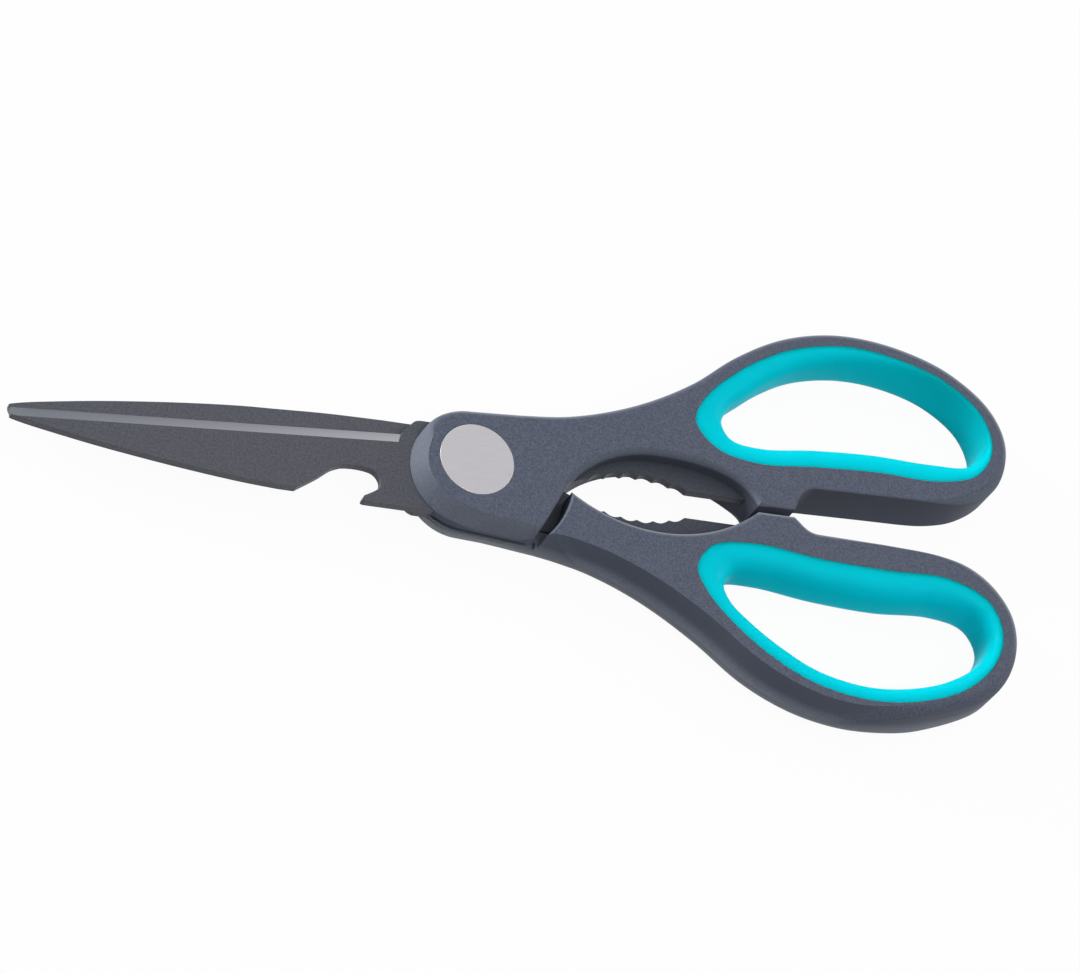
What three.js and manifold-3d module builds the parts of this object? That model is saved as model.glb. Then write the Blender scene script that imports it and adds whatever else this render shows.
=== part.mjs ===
import * as THREE from "three";
import { mergeVertices } from "three/addons/utils/BufferGeometryUtils.js";
import { ConvexGeometry } from "three/addons/geometries/ConvexGeometry.js";
import { ParametricGeometry } from "three/addons/geometries/ParametricGeometry.js";
import Module from "manifold-3d";

const wasm = await Module();
wasm.setup();

// Kitchen scissors lying on their back face, blades closed. All sizes are in millimetres.
// The pivot axis is the z axis, z = 0 is the back face, x runs from the tips to the finger loops,
// y runs towards the upper loop. The front half holds the upper loop, the rear half the lower one.

// Thicknesses and gaps
const handleThickness = 12;
const bladeThickness = 2;
const bladeGap = 0.1;
const bossGap = 0.8;
const seatGap = 0.15;
const contactGap = 0.05;
const edgeRound = 0.8;

// Closing line, the line that the two halves meet along
const closingOffset = -0.87;
const closingSlope = -0.008;

// Blades, measured across from the closing line
const tipX = -96.4;
const heelX = -14.4;
const edgeAtTip = 0.75;
const edgeAtHeel = 7.35;
const bevelWidth = 2.8;
const bevelEndSlant = 1.1;
const edgeLand = 0.2;
const ricassoHalfWidth = 10.2;
const spineCurve = [
  [-93.5, 2.4],
  [-89, 3.3],
  [-79, 5.05],
  [-69, 6.5],
  [-59, 7.75],
  [-49, 8.75],
  [-41, 9.25],
];
const tipCurve = [
  [0.05, 0.2],
  [0, -0.7],
  [0.1, -1.6],
  [0.5, -1.8],
];
const tipChamfer = 0.3;
const rearSpineEnd = [
  [-30, 9.9],
  [-18, 10.2],
];
const reliefStartX = -36;
const reliefEndX = -13.4;
const reliefTop = 1;
const reliefCurve = [
  [-2, 5.2],
  [-6, 1.4],
];
const reliefRun = 12;
const reliefLead = [5, 3.3];
const rearRicasso = 9.9;
const rearRicassoX = [-10, -11.8];
const ricassoCurve = [
  [-10.4, 0],
  [-11.6, 0.25],
  [-12.4, 0.9],
  [-13.2, 1.8],
];

// Bottle opener cut into the spine of the front blade
const openerStartX = -37.6;
const openerTop = 2.35;
const openerWallX = -19.6;
const openerLead = [
  [4.6, 6.1],
  [8.6, 3.1],
];
const openerCrownX = 3.4;
const openerWall = [
  [1.7, 0.45],
  [0.1, 2.1],
  [0.1, 4.05],
  [1, 5],
  [2.6, 6],
];
const clawTipX = -23.6;
const clawCurve = [
  [0.5, 1.35],
  [0.2, 0.9],
  [0, 0.25],
  [0.5, 0],
];

// Nutcracker jaw of each tang
const toothCount = 6;
const toothStartX = 26.3;
const toothEndX = 47.9;
const toothArcRadius = 28.8;
const toothArcRise = 4.57;
const toothDepth = 0.55;
const jawFlat = 2.55;
const tangEndX = 61.5;
const tangEndRise = 4.2;
const tangLead = [
  [3, -10.2],
  [9.5, -7.2],
  [15.5, -2.6],
  [20.5, 0.15],
  [24.6, 1.95],
];
const toothStartRise = 2.45;
const tangBack = [
  [60, 5.2],
  [56, 7],
  [52, 8.4],
  [48, 10.4],
  [43, 12.3],
  [36, 12.9],
  [27, 11.7],
  [18, 10.5],
  [8, 10.2],
];
const anchorX = 13;
const anchorRise = 5;
const anchorRadius = 2;

// Pivot bosses and the shoulders that turn round them
const bossCentreX = -0.35;
const bossCentreY = -1.2;
const frontBossRadius = 12.6;
const rearBossRadius = 12.7;
const shoulderRadius = 21.2;
const shoulderGap = 1.4;
const frontCornerAngle = -49.5;
const rearCornerAngle = 41;

// Handle edges between the bosses and the loops. Each loop's reach is its outermost distance from the
// pivot across the scissors, and the outlines of the loops give their y as a share of it.
const upperReach = 42.9;
const lowerReach = 45.6;
const upperJawRadius = 25.5;
const upperJawEndRadius = 46;
const upperJawApex = [40.2, 7.2];
const upperJawEndX = 61;
const lowerJawRadius = 33.9;
const lowerJawApex = [40.8, -10.8];
const stopLine = -2.35;
const stopGap = 1.3;
const stopStartX = 62.4;
const stopEndX = 69.8;
const stopRampX = 76;
const upperInnerY = 4.0;
const lowerInnerY = -6.4;
const upperOuterEdge = [
  [10, 0.2751],
  [20, 0.2984],
  [30, 0.373],
  [40, 0.4732],
  [50, 0.6084],
  [59.4, 0.7762],
  [69.4, 0.9091],
  [79.4, 0.9837],
  [89.5, 1],
  [100, 0.965],
  [109, 0.8788],
  [116.9, 0.7459],
  [121.4, 0.599],
  [122.2, 0.4429],
  [119.5, 0.2797],
  [113.8, 0.162],
  [106, 0.1142],
  [92, 0.1026],
];
const lowerOuterEdge = [
  [10, 0.3026],
  [20, 0.3311],
  [30, 0.4013],
  [40, 0.5066],
  [50, 0.6535],
  [60, 0.8311],
  [70, 0.943],
  [80, 0.9956],
  [90, 1],
  [100, 0.9649],
  [109.9, 0.8816],
  [116.9, 0.761],
  [120, 0.6009],
  [119.8, 0.4364],
  [116.1, 0.2917],
  [110.6, 0.2039],
  [103, 0.171],
  [90, 0.1557],
];

// Soft liners, counter-clockwise: each row is a border point on the faces and its mate in the throat
const gripRib = 0.8;
const gripRibHeight = 3;
const gripFullness = 0.85;
const upperGripRows = [
  [53.5, 0.2448, 58.5, 0.3357],
  [62.5, 0.1888, 65, 0.3124],
  [76, 0.2121, 77, 0.345],
  [90, 0.2308, 90.2, 0.3636],
  [105, 0.2284, 104.3, 0.3566],
  [114.2, 0.2937, 113.2, 0.3706],
  [118.4, 0.4545, 117.2, 0.4779],
  [116.4, 0.6457, 115.4, 0.641],
  [109, 0.7995, 108.6, 0.7762],
  [99, 0.8881, 99, 0.8462],
  [87, 0.9254, 87.5, 0.8531],
  [75, 0.8788, 76.5, 0.7949],
  [66, 0.7855, 68.9, 0.704],
  [58, 0.6573, 63, 0.6037],
  [51.6, 0.5082, 58.4, 0.5128],
  [49.3, 0.3776, 56.7, 0.4242],
];
const lowerGripRows = [
  [47.5, 0.3991, 54.7, 0.443],
  [49.6, 0.5219, 56, 0.5373],
  [55, 0.6623, 60.1, 0.625],
  [63, 0.8048, 66.6, 0.7281],
  [72, 0.9079, 74, 0.8158],
  [84, 0.9605, 84.6, 0.864],
  [96, 0.9364, 94.9, 0.8465],
  [106.5, 0.8509, 104.2, 0.7829],
  [113.9, 0.7039, 111.5, 0.6754],
  [116.5, 0.5482, 114.3, 0.5439],
  [114.2, 0.3904, 111.8, 0.4408],
  [105.5, 0.2939, 104, 0.4057],
  [91, 0.2895, 91, 0.4211],
  [76, 0.2763, 77.2, 0.4035],
  [61, 0.2412, 64, 0.3662],
  [51.2, 0.2785, 56.9, 0.3772],
];

// Pivot hardware
const shankRadius = 3;
const shankClearance = 0.06;
const headRadius = 5.5;
const headThickness = 1.4;
const washerRadius = 5.2;
const washerThickness = 0.4;
const washerDish = 0.25;
const collarRadius = 5;
const collarThickness = 1.2;
const tailLength = 0.25;
const capRadius = 8;
const capThickness = 0.8;
const capChamfer = 0.2;
const spigotWall = 0.45;
const spigotLength = 0.5;
const cavityGap = 0.45;

// Heights that follow from the sizes above
const midHeight = handleThickness / 2;
const frontInner = midHeight + bladeGap / 2;
const frontOuter = frontInner + bladeThickness;
const rearInner = midHeight - bladeGap / 2;
const rearOuter = rearInner - bladeThickness;
const frontBossFloor = midHeight + bossGap / 2;
const rearBossTop = midHeight - bossGap / 2;
const bossReach = shoulderRadius - shoulderGap;
const cavityRadius = headRadius + cavityGap;
const frontCapSeat = handleThickness - capThickness;
const rearCapSeat = capThickness;

function closingLine(x) {
  return closingOffset + closingSlope * x;
}

// A point measured across from the closing line: side 1 is the front half, side -1 the rear half
function across(side, x, v) {
  return new THREE.Vector2(x, closingLine(x) + side * v);
}

function polar(radius, degrees) {
  const angle = THREE.MathUtils.degToRad(degrees);
  return new THREE.Vector2(radius * Math.cos(angle), radius * Math.sin(angle));
}

function arcPoints(centre, radius, fromDegrees, toDegrees, steps) {
  const points = [];
  for (let i = 0; i <= steps; i += 1) {
    const at = fromDegrees + ((toDegrees - fromDegrees) * i) / steps;
    points.push(polar(radius, at).add(centre));
  }
  return points;
}

function curvePoints(points, stepsPerSpan) {
  return new THREE.SplineCurve(points).getPoints(stepsPerSpan * (points.length - 1));
}

function bezierPoints(a, b, c, d, steps) {
  return new THREE.CubicBezierCurve(a, b, c, d).getPoints(steps);
}

// Moves a closed outline outwards by a small distance, corner by corner
function grown(points, distance) {
  const turn = THREE.ShapeUtils.area(points) > 0 ? 1 : -1;
  return points.map((point, i) => {
    const before = points[(i + points.length - 1) % points.length];
    const after = points[(i + 1) % points.length];
    const inward = point.clone().sub(before).normalize();
    const outward = after.clone().sub(point).normalize();
    const firstNormal = new THREE.Vector2(inward.y, -inward.x).multiplyScalar(turn);
    const nextNormal = new THREE.Vector2(outward.y, -outward.x).multiplyScalar(turn);
    const miter = firstNormal.clone().add(nextNormal).normalize();
    const reach = distance / Math.max(0.5, miter.dot(firstNormal));
    return point.clone().addScaledVector(miter, reach);
  });
}

function withoutRepeats(points) {
  return points.filter((point, i) => {
    const next = points[(i + 1) % points.length];
    return point.distanceTo(next) > 0.02;
  });
}

// Geometry to solid and back
function solidOf(geometry) {
  const bare = geometry.clone();
  bare.deleteAttribute("normal");
  bare.deleteAttribute("uv");
  const merged = mergeVertices(bare, 1e-4);
  const mesh = new wasm.Mesh({
    numProp: 3,
    vertProperties: new Float32Array(merged.attributes.position.array),
    triVerts: new Uint32Array(merged.index.array),
  });
  return new wasm.Manifold(mesh);
}

function geometryOf(solid) {
  const mesh = solid.getMesh();
  const geometry = new THREE.BufferGeometry();
  const corners = new Float32Array(mesh.vertProperties);
  geometry.setAttribute("position", new THREE.BufferAttribute(corners, 3));
  geometry.setIndex(new THREE.BufferAttribute(new Uint32Array(mesh.triVerts), 1));
  const flat = geometry.toNonIndexed();
  flat.computeVertexNormals();
  return flat;
}

function plate(points, low, high, round = 0) {
  const settings = {
    depth: high - low - 2 * round,
    bevelEnabled: round > 0,
    bevelThickness: round,
    bevelSize: round,
    bevelOffset: -round,
    bevelSegments: 2,
  };
  const geometry = new THREE.ExtrudeGeometry(new THREE.Shape(withoutRepeats(points)), settings);
  geometry.translate(0, 0, low + round);
  return solidOf(geometry);
}

function disc(radius, low, high, x = 0, y = 0, sides = 48) {
  const geometry = new THREE.CylinderGeometry(radius, radius, high - low, sides);
  geometry.rotateX(Math.PI / 2);
  geometry.translate(x, y, (low + high) / 2);
  return solidOf(geometry);
}

// A turned piece from a closed section of [radius, height] points, counter-clockwise
function turned(section, sides = 48) {
  const points = section.map(([radius, height]) => new THREE.Vector2(radius, height));
  points.push(points[0].clone());
  const geometry = new THREE.LatheGeometry(points, sides);
  geometry.rotateX(Math.PI / 2);
  return geometry;
}

// Blade and tang as one stamped plate
function edgeHeight(x) {
  return edgeAtTip + ((edgeAtHeel - edgeAtTip) * (x - tipX)) / (heelX - tipX);
}

function openerOutline() {
  const spineAtStart = spineCurve[spineCurve.length - 1][1];
  const crownX = (openerStartX + openerWallX) / 2 + openerCrownX;
  const claw = clawCurve.map(([x, v]) => across(1, clawTipX + x, v - ricassoHalfWidth));
  const notch = curvePoints(
    [
      across(1, openerStartX, -spineAtStart),
      ...openerLead.map(([x, v]) => across(1, openerStartX + x, -v)),
      across(1, crownX, -openerTop),
      ...openerWall.map(([x, v]) => across(1, openerWallX - x, -openerTop - v)),
      claw[0],
    ],
    4,
  );
  return [...notch, ...claw.slice(1)];
}

function spineOutline(side) {
  const spine = side > 0 ? spineCurve : [...spineCurve, ...rearSpineEnd];
  const [lastX, lastV] = tipCurve[tipCurve.length - 1];
  const points = curvePoints(
    [across(side, tipX + lastX, lastV), ...spine.map(([x, v]) => across(side, x, -v))],
    2,
  );
  return side > 0 ? [...points, ...openerOutline()] : points;
}

// Toothed edge of the tang: hollow scallops along an arc, then a flat
function toothOutline(side) {
  const points = [];
  const middleX = (toothStartX + toothEndX) / 2;
  const arcAt = (x) => {
    const drop = toothArcRadius - Math.sqrt(toothArcRadius ** 2 - (x - middleX) ** 2);
    return toothArcRise - drop;
  };
  const pitch = (toothEndX - toothStartX) / toothCount;
  const steps = 4;
  for (let tooth = 0; tooth < toothCount; tooth += 1) {
    for (let i = 0; i < steps; i += 1) {
      const along = i / steps;
      const x = toothStartX + (tooth + along) * pitch;
      points.push(across(side, x, arcAt(x) + toothDepth * Math.sin(Math.PI * along)));
    }
  }
  points.push(across(side, toothEndX, jawFlat));
  return points;
}

function tangOutline(side) {
  const hidden = curvePoints(
    [...tangLead.map(([x, v]) => across(side, x, v)), across(side, toothStartX, toothStartRise)],
    2,
  );
  hidden.pop();
  return [
    ...hidden,
    ...toothOutline(side),
    across(side, tangEndX, jawFlat),
    across(side, tangEndX, tangEndRise),
    ...curvePoints(tangBack.map(([x, v]) => across(side, x, v)), 2),
  ];
}

function ricassoOutline(side) {
  if (side > 0) {
    const rise = ricassoCurve.map(([x, drop]) => across(side, x, ricassoHalfWidth - drop));
    return [...rise, across(side, heelX, edgeAtHeel)];
  }
  const relief = [
    across(side, rearRicassoX[1], rearRicasso),
    across(side, reliefEndX, rearRicasso - reliefTop),
    ...reliefCurve.map(([x, v]) => across(side, reliefEndX + x, v)),
    across(side, reliefEndX - reliefRun, reliefTop),
    across(side, reliefStartX + reliefLead[0], reliefLead[1]),
    across(side, reliefStartX, edgeHeight(reliefStartX)),
  ];
  return [across(side, rearRicassoX[0], rearRicasso), ...curvePoints(relief, 3)];
}

function bladeOutline(side) {
  const tip = tipCurve.slice(0, -1).map(([x, v]) => across(side, tipX + x, v));
  return [
    across(side, tipX + tipChamfer, edgeHeight(tipX + tipChamfer)),
    ...tip,
    ...spineOutline(side),
    ...tangOutline(side),
    ...ricassoOutline(side),
  ];
}

// The ground bevel on the outer face, as the wedge that grinding takes away
function bevelWedge(side) {
  const inner = side > 0 ? frontInner : rearInner;
  const outer = side > 0 ? frontOuter : rearOuter;
  const endX = side > 0 ? heelX : reliefStartX;
  const up = side;
  const slope = (bladeThickness - edgeLand) / bevelWidth;
  const points = [];
  [tipX - 3, endX].forEach((x) => {
    const slant = x === endX ? bevelEndSlant : 0;
    const edge = across(side, x, edgeHeight(x));
    const root = across(side, x - slant, edgeHeight(x - slant) - bevelWidth);
    const past = across(side, x + slant / bevelWidth, edgeHeight(x) + 1);
    const pastHeight = inner + up * (edgeLand - slope);
    points.push(new THREE.Vector3(root.x, root.y, outer));
    points.push(new THREE.Vector3(root.x, root.y, outer + up));
    points.push(new THREE.Vector3(edge.x, edge.y, inner + up * edgeLand));
    points.push(new THREE.Vector3(past.x, past.y, pastHeight));
    points.push(new THREE.Vector3(past.x, past.y, outer + up));
  });
  return solidOf(new ConvexGeometry(points));
}

function anchorPlace(side) {
  return across(side, anchorX, anchorRise);
}

function blade(side) {
  const low = side > 0 ? frontInner : rearOuter;
  const high = low + bladeThickness;
  const anchor = anchorPlace(side);
  return plate(bladeOutline(side), low, high)
    .subtract(bevelWedge(side))
    .subtract(disc(shankRadius + shankClearance, low - 1, high + 1))
    .subtract(disc(anchorRadius, low - 1, high + 1, anchor.x, anchor.y, 24));
}

// Handle outlines
function reachOf(side) {
  return side > 0 ? upperReach : -lowerReach;
}

function vectors(rows, side) {
  return rows.map(([x, share]) => new THREE.Vector2(x, share * reachOf(side)));
}

function jawCentre(apex, radius, side) {
  return new THREE.Vector2(apex[0], apex[1] - side * radius);
}

// Where the jaw arc, followed towards the pivot, meets the boss reach
function jawStartAngle(centre, radius, side) {
  const distance = centre.length();
  const reach = (distance ** 2 + radius ** 2 - bossReach ** 2) / (2 * distance * radius);
  const toPivot = THREE.MathUtils.radToDeg(Math.atan2(-centre.y, -centre.x));
  return toPivot - side * THREE.MathUtils.radToDeg(Math.acos(reach));
}

function frontOutline() {
  const corner = polar(bossReach, frontCornerAngle);
  const stopY = stopLine + stopGap / 2;
  const jaw = jawCentre(upperJawApex, upperJawRadius, 1);
  const jawStart = jawStartAngle(jaw, upperJawRadius, 1);
  const jawEndCentre = jawCentre(upperJawApex, upperJawEndRadius, 1);
  const jawEndReach = (upperJawEndX - upperJawApex[0]) / upperJawEndRadius;
  const jawEnd = THREE.MathUtils.radToDeg(Math.acos(jawEndReach));
  const outer = vectors(upperOuterEdge, 1);
  return [
    corner,
    ...arcPoints(jaw, upperJawRadius, jawStart, 90, 9),
    ...arcPoints(jawEndCentre, upperJawEndRadius, 90, jawEnd, 9),
    new THREE.Vector2(stopStartX, stopY),
    ...bezierPoints(
      new THREE.Vector2(stopEndX, stopY),
      new THREE.Vector2(stopEndX + 1.8, upperInnerY - 3),
      new THREE.Vector2(stopEndX + 2.8, upperInnerY - 0.2),
      new THREE.Vector2(stopRampX, upperInnerY),
      5,
    ),
    ...curvePoints(outer.reverse(), 3),
    ...arcPoints(new THREE.Vector2(bossCentreX, bossCentreY), frontBossRadius, 90, 266, 18),
  ];
}

function rearOutline() {
  const corner = polar(bossReach, rearCornerAngle);
  const stopY = stopLine - stopGap / 2;
  const jaw = jawCentre(lowerJawApex, lowerJawRadius, -1);
  const jawStart = jawStartAngle(jaw, lowerJawRadius, -1);
  const jawEnd = -THREE.MathUtils.radToDeg(Math.asin((jaw.y - stopY) / lowerJawRadius));
  return [
    corner,
    ...arcPoints(new THREE.Vector2(bossCentreX, bossCentreY), rearBossRadius, 88, 268, 18),
    ...curvePoints(vectors(lowerOuterEdge, -1), 3),
    ...bezierPoints(
      new THREE.Vector2(stopRampX, lowerInnerY),
      new THREE.Vector2(stopEndX + 3, lowerInnerY + 0.1),
      new THREE.Vector2(stopEndX + 2.1, stopY - 1.4),
      new THREE.Vector2(stopEndX, stopY),
      5,
    ),
    ...arcPoints(jaw, lowerJawRadius, jawEnd, jawStart, 18),
  ];
}

// Finger loops
function gripRows(side) {
  return side > 0 ? upperGripRows : lowerGripRows;
}

function loopCurve(side, first) {
  const points = gripRows(side).map((row) => new THREE.Vector3(row[first], row[first + 1] * reachOf(side), 0));
  return new THREE.CatmullRomCurve3(points, true, "centripetal");
}

function loopBorder(side) {
  const points = loopCurve(side, 0).getPoints(3 * gripRows(side).length);
  points.pop();
  return points.map((point) => new THREE.Vector2(point.x, point.y));
}

function handle(side) {
  const outline = side > 0 ? frontOutline() : rearOutline();
  const border = loopBorder(side);
  const bladeLow = side > 0 ? frontInner : rearOuter;
  const ribHalf = gripRibHeight / 2 + seatGap;
  const over = 2;
  const anchor = anchorPlace(side);
  const shoulder =
    side > 0
      ? disc(shoulderRadius, -over, frontBossFloor, 0, 0, 96)
      : disc(shoulderRadius, rearBossTop, handleThickness + over, 0, 0, 96);
  const tangSlot = plate(
    grown(bladeOutline(side), seatGap),
    bladeLow - seatGap,
    bladeLow + bladeThickness + seatGap,
  ).subtract(disc(anchorRadius - seatGap, -over, handleThickness + over, anchor.x, anchor.y, 24));
  const cavity =
    side > 0
      ? disc(cavityRadius, frontInner, handleThickness, 0, 0)
      : disc(cavityRadius, 0, rearInner, 0, 0);
  const capSeat =
    side > 0
      ? disc(capRadius + seatGap, frontCapSeat, handleThickness + over)
      : disc(capRadius + seatGap, -over, rearCapSeat);
  const loopHole = plate(grown(border, seatGap), -over, handleThickness + over);
  const ribGroove = plate(
    grown(border, gripRib + seatGap),
    midHeight - ribHalf,
    midHeight + ribHalf,
  );
  return plate(outline, 0, handleThickness, edgeRound)
    .subtract(shoulder)
    .subtract(tangSlot)
    .subtract(cavity)
    .subtract(capSeat)
    .subtract(loopHole)
    .subtract(ribGroove);
}

// Liner section: [reach from the border (0) to the throat (1), outward rib, height]
function gripSection() {
  const steps = 8;
  const half = handleThickness / 2;
  const ribHalf = gripRibHeight / 2;
  const section = [
    [0, gripRib, midHeight - ribHalf],
    [0, gripRib, midHeight + ribHalf],
    [0, 0, midHeight + ribHalf],
  ];
  for (let i = 0; i <= steps; i += 1) {
    const angle = Math.PI / 2 - (Math.PI * i) / steps;
    const reach = Math.abs(Math.cos(angle)) ** gripFullness;
    const rise = Math.sign(Math.sin(angle)) * Math.abs(Math.sin(angle)) ** gripFullness;
    section.push([i === 0 || i === steps ? 0 : reach, 0, midHeight + half * rise]);
  }
  section.push([0, 0, midHeight - ribHalf]);
  return section;
}

function grip(side) {
  const border = loopBorder(side);
  const throatCurve = loopCurve(side, 2);
  const ribLine = grown(border, gripRib);
  const section = gripSection();
  const count = border.length;
  const surface = (u, v, target) => {
    const i = Math.round(u * count) % count;
    const [reach, rib, height] = section[Math.round(v * section.length) % section.length];
    const throat = throatCurve.getPoint(i / count);
    const from = rib > 0 ? ribLine[i] : border[i];
    target.set(
      from.x + (throat.x - border[i].x) * reach,
      from.y + (throat.y - border[i].y) * reach,
      height,
    );
  };
  return solidOf(new ParametricGeometry(surface, count, section.length));
}

// Pivot hardware, all turned about the z axis
function pivotRivet() {
  const headLow = frontOuter + contactGap;
  const headHigh = headLow + headThickness;
  const collarHigh = rearOuter - 2 * contactGap - washerThickness - washerDish;
  const tail = collarHigh - collarThickness - tailLength;
  return turned([
    [0, tail],
    [shankRadius - 0.3, tail],
    [shankRadius, tail + 0.3],
    [shankRadius, headLow],
    [headRadius, headLow],
    [headRadius, headHigh - 0.4],
    [headRadius - 0.4, headHigh],
    [0, headHigh],
  ]);
}

function springWasher() {
  const high = rearOuter - contactGap;
  const bore = shankRadius + 2 * shankClearance;
  return turned([
    [bore, high - washerThickness],
    [washerRadius, high - washerThickness - washerDish],
    [washerRadius, high - washerDish],
    [bore, high],
  ]);
}

function pivotCollar() {
  const high = rearOuter - 2 * contactGap - washerThickness - washerDish;
  const low = high - collarThickness;
  const bore = shankRadius + shankClearance;
  return turned([
    [bore, low],
    [collarRadius - 0.3, low],
    [collarRadius, low + 0.3],
    [collarRadius, high],
    [bore, high],
  ]);
}

function pivotCap(side) {
  const face = side > 0 ? handleThickness : 0;
  const spigotOuter = cavityRadius - seatGap;
  const rows = [
    [0, capThickness - contactGap],
    [spigotOuter - spigotWall, capThickness - contactGap],
    [spigotOuter - spigotWall, capThickness + spigotLength],
    [spigotOuter, capThickness + spigotLength],
    [spigotOuter, capThickness - contactGap],
    [capRadius, capThickness - contactGap],
    [capRadius, capChamfer],
    [capRadius - capChamfer, 0],
    [0, 0],
  ];
  const section = rows.map(([radius, depth]) => [radius, face - side * depth]);
  return turned(side > 0 ? section : section.reverse());
}

// Materials
const coatedSteel = new THREE.MeshStandardMaterial({ color: 0x585b62, roughness: 0.45, metalness: 0.6 });
const satinSteel = new THREE.MeshStandardMaterial({ color: 0xc0bfc3, roughness: 0.35, metalness: 0.9 });
const zincSteel = new THREE.MeshStandardMaterial({ color: 0x9a9da1, roughness: 0.4, metalness: 0.9 });
const greyNylon = new THREE.MeshStandardMaterial({ color: 0x5b6170, roughness: 0.6, metalness: 0 });
const turquoiseRubber = new THREE.MeshStandardMaterial({ color: 0x02bccb, roughness: 0.5, metalness: 0 });

const scissors = new THREE.Group();
scissors.name = "kitchen_scissors";

function place(name, geometry, material) {
  const mesh = new THREE.Mesh(geometry, material);
  mesh.name = name;
  scissors.add(mesh);
}

place("front_blade", geometryOf(blade(1)), coatedSteel);
place("rear_blade", geometryOf(blade(-1)), coatedSteel);
place("front_handle", geometryOf(handle(1)), greyNylon);
place("rear_handle", geometryOf(handle(-1)), greyNylon);
place("front_grip", geometryOf(grip(1)), turquoiseRubber);
place("rear_grip", geometryOf(grip(-1)), turquoiseRubber);
place("pivot_rivet", pivotRivet(), zincSteel);
place("spring_washer", springWasher(), zincSteel);
place("pivot_collar", pivotCollar(), zincSteel);
place("front_cap", pivotCap(1), satinSteel);
place("rear_cap", pivotCap(-1), satinSteel);

export default scissors;
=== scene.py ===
import math

import bmesh
import bpy
from mathutils import Matrix, Vector


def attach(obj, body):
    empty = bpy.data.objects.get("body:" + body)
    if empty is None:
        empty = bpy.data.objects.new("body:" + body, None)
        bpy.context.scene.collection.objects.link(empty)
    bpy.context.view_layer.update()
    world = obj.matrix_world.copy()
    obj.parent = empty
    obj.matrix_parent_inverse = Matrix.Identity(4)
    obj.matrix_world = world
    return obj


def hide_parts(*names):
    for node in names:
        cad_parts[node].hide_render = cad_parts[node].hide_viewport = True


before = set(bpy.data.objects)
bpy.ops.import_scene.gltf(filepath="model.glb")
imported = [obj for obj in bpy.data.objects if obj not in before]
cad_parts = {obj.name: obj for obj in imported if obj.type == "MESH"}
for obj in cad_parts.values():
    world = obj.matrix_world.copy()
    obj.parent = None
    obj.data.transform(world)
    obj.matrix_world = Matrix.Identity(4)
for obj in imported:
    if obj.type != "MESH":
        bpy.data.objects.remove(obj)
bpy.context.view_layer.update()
mm = 0.001
print("frame loaded,", len(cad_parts), "nodes")


# Colour and nodes


def linear(hexText):
    parts = [int(hexText[i : i + 2], 16) / 255 for i in (1, 3, 5)]
    return (*[c / 12.92 if c <= 0.04045 else ((c + 0.055) / 1.055) ** 2.4 for c in parts], 1.0)


def addNode(tree, kind, settings, inputs):
    made = tree.nodes.new(kind)
    for name, value in settings.items():
        setattr(made, name, value)
    for name, value in inputs.items():
        if isinstance(value, bpy.types.NodeSocket):
            tree.links.new(value, made.inputs[name])
        else:
            made.inputs[name].default_value = value
    return made


def newMaterial(name):
    material = bpy.data.materials.new(name)
    material.use_nodes = True
    material.node_tree.nodes.clear()
    return material, material.node_tree


def faded(tree, value, low, high):
    ranged = addNode(tree, "ShaderNodeMapRange", {}, {"Value": value, "From Min": low, "From Max": high})
    return ranged.outputs["Result"]


def calculated(tree, operation, a, b):
    return addNode(tree, "ShaderNodeMath", {"operation": operation}, {0: a, 1: b}).outputs[0]


def dotProduct(tree, a, b):
    return addNode(tree, "ShaderNodeVectorMath", {"operation": "DOT_PRODUCT"}, {0: a, 1: b}).outputs["Value"]


def parted(tree, vector):
    return addNode(tree, "ShaderNodeSeparateXYZ", {}, {"Vector": vector}).outputs


def blended(tree, share, first, second):
    return addNode(tree, "ShaderNodeMix", {"data_type": "RGBA"}, {0: share, 6: first, 7: second}).outputs[2]


def noise(tree, place, scale, detail=2.0, roughness=0.5):
    inputs = {"Vector": place, "Scale": scale, "Detail": detail, "Roughness": roughness}
    return addNode(tree, "ShaderNodeTexNoise", {}, inputs).outputs["Fac"]


def relief(tree, height, depthMm, strength):
    inputs = {"Height": height, "Distance": depthMm * mm, "Strength": strength}
    return addNode(tree, "ShaderNodeBump", {}, inputs).outputs["Normal"]


def finished(material, tree, sockets):
    shader = addNode(tree, "ShaderNodeBsdfPrincipled", {}, sockets)
    addNode(tree, "ShaderNodeOutputMaterial", {}, {"Surface": shader.outputs["BSDF"]})
    return material


# Glass-filled nylon, injection moulded in a spark-eroded tool: a dull slate grey with a fine even
# grain that breaks up every reflection. Some sloped edges and the foot of the rear half's skirt carry a
# painted highlight, drawn paler, and upright walls a painted shade, a little darker, tuned to the
# photograph.
nylon = {
    "colour": "#464b59",
    "pale": "#5c6170",
    # painted shade: upright walls are drawn in this darker colour
    "wall": "#4b505d",
    # painted highlight: sloped edges facing the ways below, and the foot of the rear half's skirt, are drawn
    # in this paler colour
    "paintedLight": "#80868f",
    "paintedLightSides": [  # a way that edges face, where they start to pale, and where they would be all pale
        {"toward": (0.55, 0.83, 0.0), "from": 0.15, "full": 0.55},
        {"toward": (-0.98, 0.2, 0.0), "from": 0.3, "full": 1.7},
        {"toward": (0.0, -1.0, 0.0), "from": 0.3, "full": 2.5, "frontOnly": True},
    ],
    "wallRise": (0.1, 0.35),  # the normal's z, from an upright wall to a sloped edge
    # painted light: the rear half's skirt is drawn paler towards its foot, between these heights and past
    # these y
    "skirtMm": {"foot": 1.2, "top": 7.0, "startY": -8, "fullY": -10},
    "grainMm": 0.38,  # real grain is about 0.1 mm, drawn coarser so that it shows
    "grainRange": (0.3, 0.7),
    "grainDepthMm": 0.012,
    "roughness": 0.48,
    "specular": 0.05,  # tuned low, for the dull look of a grained surface
}


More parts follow.
